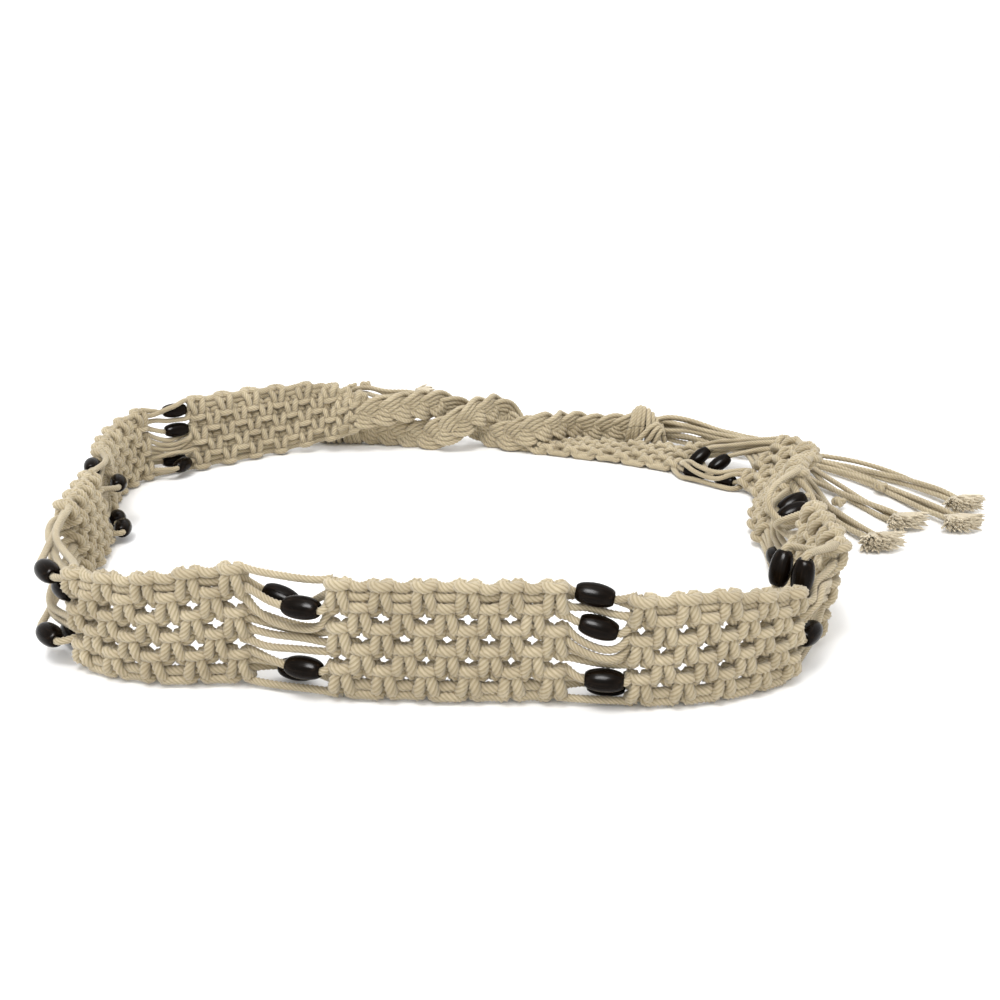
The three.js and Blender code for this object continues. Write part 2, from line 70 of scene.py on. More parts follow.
# The band's lower edge from the left tie round the front to the right tie: x, y, z, how far it
# leans outwards in degrees, its width, and whether knotting starts or stops there
STATIONS = [
    (-98, 688, 19, 0, 21, True),
    (-112, 690, 11, 0, 35, False),
    (-130, 693, 6, 0, 42, False),
    (-157, 687, 0, 0, 47, False),
    (-184, 666, 0, 0, 48, False),
    (-207, 647, 0, 0, 48, True),
    (-231, 629, 0, 0, 46, True),
    (-240, 602, 0, 0, 42, False),
    (-237, 572, 0, 0, 40, False),
    (-229, 549, 0, 0, 41, True),
    (-218, 515, 0, 5, 41, True),
    (-210, 476, 0, 8, 41, False),
    (-207, 429, 0, 5, 41, True),
    (-198, 399, 0, 0, 42, False),
    (-176, 376, 0, 0, 44, True),
    (-144, 362, 0, 0, 47, False),
    (-101, 361, 0, 0, 52, True),
    (-66, 351, 0, 0, 50, True),
    (-21, 348, 0, 0, 50, False),
    (25, 347, 0, 0, 50, True),
    (50, 344, 0, 0, 46, True),
    (85, 348, 0, 0, 46, False),
    (120, 366, 0, 0, 40, True),
    (137, 395, 0, 8, 46, True),
    (138, 451, 0, 15, 47, True),
    (142, 508, 0, 22, 46, True),
    (147, 544, 0, 30, 46, False),
    (157, 576, 0, 42, 46, False),
    (151, 605, 0, 54, 45, True),
    (117, 637, 0, 80, 41, True),
    (84, 658, 0, 87, 35, False),
    (44, 676, 0, 87, 29, False),
    (28, 683, 0, 87, 19, True),
]
STATION_STEPS = 16  # straight steps that measure the length between two stations
BAND_THICKNESS = 7.0
COLUMNS = [13, 11, 11, 9, 11, 9, 7, 11, 11]
# How much thicker a panel's cords are where its openings are pressed small, by the panel's index,
# and the same for the cords of its lower half
TIGHTNESS = {0: 1.05, 3: 1.06, 4: 1.07, 5: 1.12, 7: 1.05}
LOWER_TIGHTNESS = {4: 1.2}
LAST_UPPER_CORD = 6
LOOSE_COLUMNS = {2: 4}  # how many of a panel's last columns have come loose into parallel cords
ODD_ROWS = [0.900, 0.542, 0.184]  # heights of the knots in odd columns, as shares of the width
EVEN_ROWS = [0.721, 0.363]
# How far above the middle of the first or last row of knots each edge cord passes between them
EDGE_CORDS = {1: 4.4, 2: 0.6, 11: -1.7, 12: -5.6}

# Each bead: gap, its place along, up and out, its turn and tilt in degrees, and its cord, counted
# from the top. Two beads of a gap may share a cord.
BEADS = [
    (1, 9.5, 43.5, 0, 0, 0, 1),
    (1, 9.5, 30.3, 0, 0, 0, 4),
    (1, 12, 8.3, 5.5, 0, 0, 10),
    (1, 10, 8.3, -8.5, -45, 0, 11),
    (2, 13.3, 38.5, 3, 0, 0, 2),
    (2, 10, 26.2, -8.5, 0, 0, 4),
    (2, 14.5, 6.2, -5.5, 0, 0, 11),
    (2, 32, 6.2, -9.4, 0, 0, 11),
    (3, 44, 38.6, 1, 0, 0, 2),
    (3, 45, 29.2, -4.5, 0, 0, 4),
    (3, 50, 12.8, 6, 0, 0, 9),
    (3, 41, 6.2, -6, 0, 0, 11),
    (4, 12, 38, -6, 0, -16, 2),
    (4, 27.5, 41, 5.5, 0, 0, 3),
    (4, 26, 14, 4, 0, 0, 9),
    (4, 16, 5.7, -7, 0, 0, 11),
    (5, 11, 46.5, -2, 0, -8, 1),
    (5, 13, 34.4, 1, 0, -13, 4),
    (5, 16, 13.4, 4, 0, 0, 9),
    (5, 16.5, 5.7, -6.5, 0, 0, 11),
    (6, 11.5, 42, -14.8, 0, 72, 2),
    (6, 7.8, 42.6, -3.6, 0, 84, 1),
    (6, 11, 17, 1, 0, 0, 8),
    (6, 20, 6.6, -8, 0, 0, 11),
    (7, 38, 34, 0, 70, 45, 6),
    (7, 14, 29, 12, 41, -44, 3),
    (7, 26, 33, -1, -102, -40, 4),
    (7, 24, 8, 0, 0, 0, 10),
    (8, 38.2, 18.8, -2.4, 42, -50, 2),
    (8, 22, 14.6, -1.2, 25, -58, 4),
    (8, 9.5, 0.6, -2.4, 0, 0, 11),
    (8, 31.5, -0.4, -2.3, 0, 0, 11),
]

# How high the middle cords of each gap pass halfway
MIDDLE_CORDS = {1: 19.3, 2: 16, 3: 20.6, 4: 26.5, 5: 24, 6: 30, 7: 18, 8: 39}
MIDDLE_SPACING = 3.4
MIDDLE_SHARES = (0.36, 0.64)  # where on the way over the gap they are held at that height

# Cords that don't take the straight way over a gap, by gap and cord: along, up and out on the way
SWINGS = {
    (2, 1): [(15, 41, -5)],
    (4, 1): [(4, 51.6, 1), (17, 51.2, 1), (31, 50.9, 1)],
    (4, 3): [(7.6, 45.6, 5.5), (14, 40.5, 5.5)],
    (4, 4): [(6.4, 34, 3), (15, 30.4, 3), (28, 30.2, 3), (35, 31.6, 3)],
    (4, 5): [(7, 31, -2), (28, 28, -2)],
    (4, 6): [(7, 28, -2), (28, 26, -3)],
    (4, 7): [(6.8, 25.1, 1), (14.5, 24.5, 1), (27, 26.2, 1), (34, 24.4, 1)],
    (4, 8): [(7.4, 19.5, 3), (23, 21.7, 3), (34, 21.6, 3)],
    (4, 12): [(0.5, 3.2, 2), (10.4, 2.3, 2), (26, 3.8, 2)],
    (5, 2): [(11, 44, -8)],
    (5, 3): [(5.6, 39.4, -1), (15.5, 39.3, -1)],
    (5, 5): [(3, 31.5, 2), (10, 27.4, 4), (21, 25.6, 4)],
    (5, 6): [(1, 28.5, 3), (10, 24.2, 5), (21, 22.2, 5)],
    (5, 7): [(4, 24.5, 2), (12, 21.8, 2), (20, 20, 2)],
    (5, 8): [(4, 20, 0), (18, 17.6, 0)],
    (5, 12): [(2.7, 3.3, 2), (14.6, 3.5, 2)],
    (3, 3): [(-30, 37, 3), (-12, 36, 3)],
    (3, 4): [(-30, 33, 4), (-12, 32, 4)],
    (3, 5): [(-30, 29, 4), (-10, 28, 3)],
    (3, 6): [(-28, 25, 3), (-10, 24, 2)],
    (8, 9): [(8, -2, -9.3), (20, -2.5, -9.5), (33, -2, -9)],
    (8, 10): [(8, -5, -6), (20, -5.5, -6.3), (33, -5, -6)],
    (8, 12): [(6, -6.3, -2), (20, -6.8, -2.3), (34, -6.3, -2)],
}
# The same as x, y and z, where a cord leaves the band
FREE_WAYS = {
    (3, 1): [(-209, 462, 41), (-209, 440, 41), (-202, 417, 40), (-181, 396, 39)],
    (7, 1): [
        (150.5, 458, 36), (143, 457, 30), (137, 466, 29), (132, 473, 35), (133, 478, 44),
        (142, 486, 46), (152, 499, 45),
    ],
    (7, 2): [(134, 462, 33), (140, 475, 28), (153, 478, 25), (165, 485, 28), (167, 497, 35)],
}

# Middle lines of the ties, from the panel to the knot: x, y, z and roll in degrees
LEFT_TIE = [
    (-96.2, 687.5, 29.5, 0),
    (-76, 690, 32, 0),
    (-60, 698, 32.5, 0),
    (-45, 706, 31, 0),
    (-29, 710, 24, 0),
    (-14, 709, 14, 0),
    (0, 700, 9.6, 0),
    (13, 691, 13.5, 0),
    (25, 688, 18.8, 0),
    (37, 693, 18.2, 0),
    (51, 705, 16, 0),
    (71, 709, 12.5, 0),
    (93.9, 705.5, 14, 0),
]
RIGHT_TIE = [
    (30, 692.6, 4.2, 90),
    (21, 698, 4.8, 85),
    (13, 707, 9, 45),
    (7, 713, 18, 10),
    (-1, 711, 26, 0),
    (-9, 703, 28.5, 0),
    (-19, 695, 27, 0),
    (-31, 690.5, 20, 0),
    (-45, 696, 12.5, 0),
    (-61, 704, 9.4, 0),
    (-78, 709, 9.4, 0),
    (-105, 713, 12, 0),
]
LEFT_KNOT = (103, 704, 15)
RIGHT_KNOT = (-114, 714, 13.5)

# Middle lines of the tassels' locks, three cords to each, from the knot to the frayed end
LEFT_LOCKS = [
    [(118, 703, 21), (134, 697, 21), (160, 686, 15), (186, 680, 9), (214, 664, 5),
     (240, 642, 4.3), (260, 616, 4.3), (272, 588, 4.3), (278, 568, 4.3)],
    [(120, 702, 13), (138, 692, 14), (162, 680, 9), (190, 668, 4.5), (216, 646, 4.3),
     (236, 616, 4.3), (250, 584, 4.3), (258, 556, 4.3), (263, 536, 4.3)],
    [(119, 707, 9), (138, 699, 7), (165, 694, 5), (195, 684, 4.3), (205, 644, 4.3),
     (208, 608, 4.3), (216, 582, 4.3), (226, 558, 4.3), (232, 538, 4.3)],
    [(119, 709, 17), (136, 706, 13), (166, 704, 8), (194, 692, 4.3), (199, 652, 4.3),
     (197, 608, 4.3), (196, 570, 4.3), (202, 532, 4.3), (207, 506, 4.3)],
]
RIGHT_LOCKS = [
    [(-124, 716, 16), (-140, 722, 17), (-158, 736, 10), (-180, 742, 4.5), (-206, 736, 4.3),
     (-226, 716, 4.3), (-240, 690, 4.3), (-250, 668, 4.3)],
    [(-124, 713, 12), (-142, 714, 8), (-164, 712, 4.6), (-190, 706, 4.3), (-210, 690, 4.3),
     (-228, 670, 4.3), (-250, 648, 4.3), (-262, 632, 4.3)],
    [(-122, 718, 10), (-138, 728, 6), (-156, 746, 4.3), (-150, 764, 4.3), (-124, 768, 4.3),
     (-96, 758, 4.3), (-70, 748, 4.3), (-50, 738, 4.3)],
    [(-118, 720, 19), (-124, 730, 27), (-112, 734, 34), (-98, 724, 38), (-84, 713, 38),
     (-70, 713, 38), (-58, 716, 36)],
]

# Small knots part of the way along single cords: the place and the cord's direction
LEFT_SMALL_KNOTS = [((240, 597, 5.5), (0.3, -1, 0)), ((205, 570, 5), (0.2, -1, 0))]
RIGHT_SMALL_KNOTS = [((-99, 725, 41.5), (1, -0.2, 0)), ((-110, 731, 38.5), (1, -0.3, 0.3))]


def unit(vectors):
    vectors = np.asarray(vectors, float)
    return vectors / np.maximum(np.linalg.norm(vectors, axis=-1, keepdims=True), 1e-12)


def catmull(points, t, centripetal=True):
    """Points at t, from 0 to 1, of the Catmull-Rom curve through the given points."""
    points = np.asarray(points, float)
    ends = np.vstack([2 * points[0] - points[1], points, 2 * points[-1] - points[-2]])
    place = np.clip(np.atleast_1d(np.asarray(t, float)), 0, 1) * (len(points) - 1)
    i = np.minimum(place.astype(int), len(points) - 2)
    w = (place - i)[:, None]
    p0, p1, p2, p3 = (ends[i + k] for k in range(4))
    if centripetal:
        pairs = ((p0, p1), (p1, p2), (p2, p3))
        d0, d1, d2 = (np.maximum(np.linalg.norm(b - a, axis=1), 1e-9)[:, None] ** 0.5 for a, b in pairs)
        m1 = ((p1 - p0) / d0 - (p2 - p0) / (d0 + d1) + (p2 - p1) / d1) * d1
        m2 = ((p2 - p1) / d1 - (p3 - p1) / (d1 + d2) + (p3 - p2) / d2) * d1
    else:
        m1 = (p2 - p0) / 2
        m2 = (p3 - p1) / 2
    return p1 + m1 * w + (3 * (p2 - p1) - 2 * m1 - m2) * w**2 + (2 * (p1 - p2) + m1 + m2) * w**3


def lengths_of(points):
    steps = np.linalg.norm(np.diff(points, axis=0), axis=1)
    return np.concatenate([[0], np.cumsum(steps)])


def direction(points, t, nudge):
    """The way a curve heads at t, from points just before and just after it."""
    return catmull(points, t + nudge) - catmull(points, t - nudge)


# The band as a curve, measured the same way as its solids were
PATH = np.array([row[:3] for row in STATIONS], float)
TREND = np.array([row[3:5] for row in STATIONS], float)
FINE_T = np.linspace(0, 1, STATION_STEPS * (len(STATIONS) - 1) + 1)
LENGTHS = lengths_of(catmull(PATH, FINE_T))
EDGES = [LENGTHS[STATION_STEPS * i] for i, row in enumerate(STATIONS) if row[5]]


def band_frames(distances):
    """The band's base point and axes (tangent, rise, outward) and its width at distances along it."""
    distances = np.atleast_1d(np.asarray(distances, float))
    within = np.clip(distances, 0, LENGTHS[-1])
    t = np.interp(within, LENGTHS, FINE_T)
    base = catmull(PATH, t)
    tangent = direction(PATH, t, 1e-4)
    tangent[:, 2] = 0
    tangent = unit(tangent)
    base[:, 2] = np.maximum(base[:, 2], 0)
    base += tangent * (distances - within)[:, None]
    away = np.stack([tangent[:, 1], -tangent[:, 0], np.zeros(len(t))], axis=1)
    lean, width = catmull(TREND, t, centripetal=False).T
    sine = np.sin(np.radians(lean))[:, None]
    cosine = np.cos(np.radians(lean))[:, None]
    up = np.array([0, 0, 1.0])
    base[:, 2] += BAND_THICKNESS / 2 * np.abs(sine[:, 0])
    return base, tangent, cosine * up + sine * away, cosine * away - sine * up, width


def on_band(points):
    """Points given as (distance along, up, out) of the band."""
    points = np.atleast_2d(np.asarray(points, float))
    base, _, rise, outward, _ = band_frames(points[:, 0])
    return base + rise * points[:, 1:2] + outward * points[:, 2:3]


def width_at(distance):
    return float(band_frames(distance)[4][0])


# How a square knot's cords run, as (along, up, out) from its middle. The upper cord crosses the
# front of the two straight ones as two legs and turns back over their rear at the lower side. The
# lower cord crosses the rear and makes the bar along the top of the front. The first and last
# points are where a cord passes from one knot to the next.
UPPER_CORD = [
    (-4.3, 6.5, 0),
    (-2.4, 6.2, -0.6),
    (-1.4, 4.9, 0.8),
    (-1.9, 2.7, 2.9),
    (-2.5, 0.2, 3.7),
    (-3.2, -2.6, 3.1),
    (-3.8, -4.4, 0.9),
    (-3.4, -5.6, -1.9),
    (-1.8, -5.8, -3.7),
    (0, -5.8, -4.0),
    (1.8, -5.8, -3.7),
    (3.4, -5.6, -1.9),
    (3.8, -4.4, 0.9),
    (3.2, -2.6, 3.1),
    (2.5, 0.2, 3.7),
    (1.9, 2.7, 2.9),
    (1.4, 4.9, 0.8),
    (2.4, 6.2, -0.6),
    (4.3, 6.5, 0),
]
LOWER_CORD = [(along, -up, -out) for along, up, out in UPPER_CORD]
HIGH_CORD = [(-4.3, 2.4, 0), (-2.0, 1.8, 0), (2.0, 1.8, 0), (4.3, 2.4, 0)]
LOW_CORD = [(along, -up, -out) for along, up, out in HIGH_CORD]
ROLES = {"upper": UPPER_CORD, "high": HIGH_CORD, "low": LOW_CORD, "lower": LOWER_CORD}
ORDER = ["upper", "high", "low", "lower"]
KNOT_PITCH = 8.6  # pitch of the columns for which the knot above is drawn
NET_WIDTH = 49.0  # width of the net for which it is drawn
WIDEST = 1.05  # how far a knot is stretched at most on a wider net
KNOT_PLAY = 0.16  # how unevenly the knots are tied
SAME_PLACE = 2.6  # a knot that starts this near the last one's end is joined to it at one point
PASSING = 0.3  # half of an edge cord's way past a column, as a share of the pitch


def stretch_at(distance):
    """How much wider or narrower than drawn the knots are there."""
    return min(width_at(distance) / NET_WIDTH, WIDEST)


def knot_part(role, middle, share, pitch):
    """The stretch of one cord through one knot."""
    width = width_at(middle)
    across = stretch_at(middle)
    shape = np.array(ROLES[role])
    shape = shape * [pitch / KNOT_PITCH, across, 0.75 + 0.25 * across]
    shape = shape + rng.normal(0, KNOT_PLAY, shape.shape)
    return [(middle + along, share * width + up, out) for along, up, out in shape]


def edge_part(cord, middle, pitch):
    """An edge cord that passes a column where it isn't knotted."""
    share = ODD_ROWS[0] if cord <= LAST_UPPER_CORD else ODD_ROWS[-1]
    out = rng.normal(1, 0.5)
    height = share * width_at(middle) + EDGE_CORDS[cord] * stretch_at(middle)
    height = max(height, CORD_RADIUS + FLOOR_PLAY)
    return [(middle - PASSING * pitch, height, out), (middle + PASSING * pitch, height, out)]


def joined(route, part):
    """The route with the part added, and one point only where the two meet."""
    if route and math.dist(route[-1], part[0]) < SAME_PLACE:
        route[-1] = tuple((a + b) / 2 for a, b in zip(route[-1], part[0]))
        part = part[1:]
    return route + part


def panel_routes(panel):
    """The way of each of the twelve cords through a panel, in the band's own directions."""
    start, end = EDGES[2 * panel], EDGES[2 * panel + 1]
    columns = COLUMNS[panel]
    pitch = (end - start) / columns
    routes = {cord: [] for cord in range(1, 13)}
    for column in range(columns - LOOSE_COLUMNS.get(panel, 0)):
        middle = start + (column + 0.5) * pitch
        odd = column % 2 == 0
        rows = ODD_ROWS if odd else EVEN_ROWS
        first = 1 if odd else 3
        for row, share in enumerate(rows):
            for place, role in enumerate(ORDER):
                cord = first + 4 * row + place
                part = knot_part(role, middle, share, pitch)
                routes[cord] = joined(routes[cord], part[1:-1] if cord in EDGE_CORDS else part)
        if not odd:
            for cord in EDGE_CORDS:
                routes[cord] += edge_part(cord, middle, pitch)
    return routes


def bead_axis(bead):
    """Middle and direction of a bead."""
    gap, along, up, out, turn, tilt, _ = bead
    distance = EDGES[2 * gap - 1] + along
    _, tangent, rise, outward, _ = (part[0] for part in band_frames(distance))
    turn, tilt = math.radians(turn), math.radians(tilt)
    axis = tangent * math.cos(turn) * math.cos(tilt)
    axis = axis + outward * math.sin(turn) * math.cos(tilt) + rise * math.sin(tilt)
    return on_band((distance, up, out))[0], axis


STRAND_POINTS = 26
THINNING = [0, 0.12, 0.88, 1]  # places on the way over a gap, with the cord's radius at each
THINNED = [CORD_RADIUS, LOOSE_RADIUS, LOOSE_RADIUS, CORD_RADIUS]
STRAIGHT_PAST_BEAD = 1.5


def strand_start(gap, cord, leave, enter):
    """A first route for one cord over a gap, and which of its points a bead holds."""
    start, end = EDGES[2 * gap - 1], EDGES[2 * gap]
    points = [on_band(leave)[0]]
    held = []
    beads = [bead for bead in BEADS if bead[0] == gap and bead[6] == cord]
    reach_past = BEAD["length"] / 2 + STRAIGHT_PAST_BEAD
    for bead in beads:
        middle, axis = bead_axis(bead)
        for reach in (-reach_past, 0, reach_past):
            held.append(len(points))
            points.append(middle + axis * reach)
    swing = SWINGS.get((gap, cord), [])
    before = [on_band((start + along, up, out))[0] for along, up, out in swing]
    before += [np.array(point, float) for point in FREE_WAYS.get((gap, cord), [])]
    if beads:
        points[1:1] = before
        held = [n + len(before) for n in held]
    else:
        points += before
    if 5 <= cord <= 8 and not beads and not before:
        up = MIDDLE_CORDS[gap] + (LAST_UPPER_CORD + 0.5 - cord) * MIDDLE_SPACING
        for share in MIDDLE_SHARES:
            points.append(on_band((start + share * (end - start), up, 0))[0])
    points.append(on_band(enter)[0])
    return np.array(points), held


def closest_on_segment(points, a, b):
    along = b - a
    t = np.clip((points - a) @ along / (along @ along), 0, 1)
    return a + t[:, None] * along


# How the cords of a gap settle: rounds, and how much of each overlap a round takes away
SETTLING = {"rounds": 90, "cords": 0.25, "beads": 0.6, "floor": 0.5, "bends": 0.12}
BEAD_CORE_INSET = 2  # a bead pushes as a capsule whose ends lie this far inside its own


def sampled_strands(starts):
    """The first routes as lines of equally many points, and which points stay where they are."""
    t = np.linspace(0, 1, STRAND_POINTS)
    lines, stiff = [], []
    for points, held in starts.values():
        marks = np.linspace(0, 1, len(points))
        fixed = np.zeros(STRAND_POINTS, bool)
        fixed[[0, -1]] = True
        if held:
            fixed |= (t >= marks[held[0]] - 0.01) & (t <= marks[held[-1]] + 0.01)
        lines.append(catmull(points, t))
        stiff.append(fixed)
    return np.array(lines), np.array(stiff)


def cord_pushes(lines):
    """How each point is pushed by the cords that it cuts into."""
    flat = lines.reshape(-1, 3)
    apart = flat[:, None] - flat[None]
    far = np.linalg.norm(apart, axis=2)
    owner = np.repeat(np.arange(len(lines)), STRAND_POINTS)
    near = (far < 2 * LOOSE_RADIUS) & (owner[:, None] != owner[None])
    lack = np.where(near, 2 * LOOSE_RADIUS - far, 0)
    ways = apart / np.maximum(far, 1e-6)[..., None]
    return SETTLING["cords"] * (ways * lack[..., None]).sum(axis=1).reshape(lines.shape)


def bead_push(line, middle, axis):
    """How a bead pushes the points of a cord that passes it."""
    half = BEAD["length"] / 2 - BEAD_CORE_INSET
    away = line - closest_on_segment(line, middle - axis * half, middle + axis * half)
    lack = np.maximum(BEAD["radius"] + LOOSE_RADIUS - np.linalg.norm(away, axis=1), 0)
    return SETTLING["beads"] * unit(away) * lack[:, None]


def settled(starts, gap):
    """The cords of a gap, moved off the beads, each other and the floor."""
    lines, stiff = sampled_strands(starts)
    cords = list(starts)
    beads = [(bead[6], *bead_axis(bead)) for bead in BEADS if bead[0] == gap]
    for _ in range(SETTLING["rounds"]):
        push = cord_pushes(lines)
        for owner, middle, axis in beads:
            for n, cord in enumerate(cords):
                if cord != owner:
                    push[n] += bead_push(lines[n], middle, axis)
        push[..., 2] += SETTLING["floor"] * np.maximum(CORD_RADIUS + FLOOR_PLAY - lines[..., 2], 0)
        push[stiff] = 0
        for _ in range(2):
            push[:, 1:-1] = 0.5 * push[:, 1:-1] + 0.25 * (push[:, :-2] + push[:, 2:])
        push[stiff] = 0
        lines += np.clip(push, -1, 1)
        bends = 0.5 * (lines[:, :-2] + lines[:, 2:]) - lines[:, 1:-1]
        bends[stiff[:, 1:-1]] = 0
        lines[:, 1:-1] += SETTLING["bends"] * bends
    return dict(zip(cords, lines))


# Meshes

def even_line(points, radius, step):
    """A smooth line with evenly spaced points, their distances along it and the radius at each.
    The radius is one number, or one for each given point."""
    points = np.asarray(points, float)
    rough = catmull(points, np.linspace(0, 1, 8 * len(points)))
    far = lengths_of(rough)
    count = max(int(round(far[-1] / step)), 3) + 1
    want = np.linspace(0, far[-1], count)
    line = np.stack([np.interp(want, far, rough[:, k]) for k in range(3)], axis=1)
    if np.ndim(radius):
        place = np.interp(want, far, np.linspace(0, len(points) - 1, len(rough)))
        radius = np.interp(place, np.arange(len(points)), radius)
    else:
        radius = np.full(count, radius)
    if count > 6:
        line[1:-1] = 0.5 * line[1:-1] + 0.25 * (line[:-2] + line[2:])
    line[:, 2] = np.maximum(line[:, 2], radius)
    return line, want, radius


def ring_axes(line):
    """Two directions square to the line at each point, which turn as little as they can."""
    tangent = unit(np.gradient(line, axis=0))
    normal = np.zeros_like(line)
    seed = np.array([0.0, 0.0, 1.0]) if abs(tangent[0, 2]) < 0.9 else np.array([1.0, 0, 0])
    normal[0] = unit(seed - tangent[0] * (seed @ tangent[0]))
    for i in range(1, len(line)):
        moved = normal[i - 1] - tangent[i] * (normal[i - 1] @ tangent[i])
        normal[i] = moved / max(np.linalg.norm(moved), 1e-9)
    return normal, np.cross(tangent, normal)


def rings_on(line, want, size, turned, crest):
    """Rings with the given sizes and angles, as places, the crest of each point (its place in the
    cotton's painted groove shade) and the places of the same cord pulled straight."""
    normal, binormal = ring_axes(line)
    places = line[:, None] + size[..., None] * (
        np.cos(turned)[..., None] * normal[:, None] + np.sin(turned)[..., None] * binormal[:, None]
    )
    count, sides = size.shape
    angle = 2 * np.pi * np.arange(sides) / sides
    straight = np.stack(
        [
            np.tile(np.cos(angle), (count, 1)),
            np.tile(np.sin(angle), (count, 1)),
            np.repeat((want / CORD_RADIUS)[:, None], sides, axis=1),
        ],
        axis=2,
    )
    straight[..., 2] += rng.uniform(0, 400)
    return places, np.tile(CREST_SHADE_STOP * crest, (count, 1)), straight


# A yarn of a frayed end narrows over the last part of its length, down to its tip
HAIR = {"radius": 0.75, "step": 2.5, "sides": 4, "taper": 0.12, "tip": 0.12}


class Bundle:
    """Collects tubes and makes one mesh of them."""

    def __init__(self):
        self.points, self.faces, self.crests, self.straight, self.kinds = [], [], [], [], []
        self.count = 0

    def add(self, rings, crests, straight, kind):
        count, sides = rings.shape[:2]
        index = self.count + np.arange(count * sides).reshape(count, sides)
        after = np.roll(index, -1, axis=1)
        quads = np.stack([index[:-1], after[:-1], after[1:], index[1:]], axis=2).reshape(-1, 4)
        centres = np.array([rings[0].mean(axis=0), rings[-1].mean(axis=0)])
        first = self.count + count * sides
        caps = [(first, after[0, k], index[0, k]) for k in range(sides)]
        caps += [(first + 1, index[-1, k], after[-1, k]) for k in range(sides)]
        ends = np.array([[0, 0, straight[0, 0, 2]], [0, 0, straight[-1, 0, 2]]])
        self.points += [rings.reshape(-1, 3), centres]
        self.crests += [crests.ravel(), [0.5, 0.5]]
        self.straight += [straight.reshape(-1, 3), ends]
        self.kinds += [np.full(count * sides + 2, kind)]
        self.faces.append((quads, np.array(caps)))
        self.count += count * sides + 2

    def cord(self, points, radius, plies=LOOSE_PLIES):
        """A twisted cord, with the grooves of its plies spiralling round it."""
        phase = rng.uniform(0, 2 * np.pi)
        lay = LAY * rng.uniform(1 - LAY_SPREAD, 1 + LAY_SPREAD)
        line, want, radii = even_line(points, radius, RING_STEP)
        angle = 2 * np.pi * np.arange(RING_SIDES) / RING_SIDES
        crest = 0.5 + 0.5 * np.cos(plies * angle)
        turned = angle[None] + phase + (2 * np.pi * want / lay)[:, None]
        size = radii[:, None] * (GROOVE + PLY_HEIGHT * crest)
        self.add(*rings_on(line, want, size, turned, crest), 0.0)

    def hair(self, points):
        """A loose yarn of a frayed end."""
        line, want, radii = even_line(points, HAIR["radius"], HAIR["step"])
        angle = 2 * np.pi * np.arange(HAIR["sides"]) / HAIR["sides"]
        turned = np.tile(angle, (len(line), 1))
        left = (want[-1] - want) / (HAIR["taper"] * want[-1])
        size = np.repeat((radii * np.clip(left, HAIR["tip"], 1))[:, None], HAIR["sides"], axis=1)
        self.add(*rings_on(line, want, size, turned, np.ones(HAIR["sides"])), 1.0)

    def object(self, name, material):
        points = (np.vstack(self.points) - OUTLINE_MIDDLE) * MM
        mesh = bpy.data.meshes.new(name)
        quads = np.vstack([q for q, _ in self.faces])
        caps = np.vstack([c for _, c in self.faces])
        corners = np.concatenate([quads.ravel(), caps.ravel()])
        starts = np.concatenate([4 * np.arange(len(quads)), 4 * len(quads) + 3 * np.arange(len(caps))])
        mesh.vertices.add(len(points))
        mesh.vertices.foreach_set("co", points.ravel())
        mesh.loops.add(len(corners))
        mesh.loops.foreach_set("vertex_index", corners.astype(np.int32))
        mesh.polygons.add(len(starts))
        mesh.polygons.foreach_set("loop_start", starts.astype(np.int32))
        mesh.polygons.foreach_set("use_smooth", np.ones(len(starts), bool))
        crest = mesh.attributes.new("crest", "FLOAT", "POINT")
        crest.data.foreach_set("value", np.concatenate(self.crests).astype(np.float32))
        frayed = mesh.attributes.new("frayed", "FLOAT", "POINT")
        frayed.data.foreach_set("value", np.concatenate(self.kinds).astype(np.float32))
        straight = mesh.attributes.new("straight", "FLOAT_VECTOR", "POINT")
        straight.data.foreach_set("vector", np.vstack(self.straight).ravel().astype(np.float32))
        mesh.update(calc_edges=True)
        mesh.validate()
        mesh.materials.append(material)
        obj = bpy.data.objects.new(name, mesh)
        bpy.context.collection.objects.link(obj)
        return obj


# Materials

def new_material(name):
    material = bpy.data.materials.new(name)
    material.use_nodes = True
    nodes = material.node_tree.nodes
    nodes.clear()
    output = nodes.new("ShaderNodeOutputMaterial")
    shader = nodes.new("ShaderNodeBsdfPrincipled")
    material.node_tree.links.new(shader.outputs["BSDF"], output.inputs["Surface"])
    return material, nodes, material.node_tree.links, shader


def ramp(nodes, stops):
    node = nodes.new("ShaderNodeValToRGB")
    elements = node.color_ramp.elements
    elements[0].position, elements[0].color = stops[0]
    elements[1].position, elements[1].color = stops[-1]
    for position, color in stops[1:-1]:
        element = elements.new(position)
        element.color = color
    return node


def attribute_node(nodes, name):
    node = nodes.new("ShaderNodeAttribute")
    node.attribute_name = name
    return node


def noise_node(nodes, links, place, scale, detail):
    node = nodes.new("ShaderNodeTexNoise")
    node.inputs["Scale"].default_value = scale
    node.inputs["Detail"].default_value = detail
    links.new(place, node.inputs["Vector"])
    return node


def multiplied(nodes, links, first, second):
    """The product of two colours."""
    node = nodes.new("ShaderNodeMix")
    node.data_type = "RGBA"
    node.blend_type = "MULTIPLY"
    node.inputs["Factor"].default_value = 1.0
    links.new(first, node.inputs["A"])
    links.new(second, node.inputs["B"])
    return node.outputs["Result"]


def add_bump(nodes, links, shader, height, strength):
    node = nodes.new("ShaderNodeBump")
    node.inputs["Strength"].default_value = strength
    node.inputs["Distance"].default_value = 0.3 * MM
    links.new(height, node.inputs["Height"])
    links.new(node.outputs["Normal"], shader.inputs["Normal"])


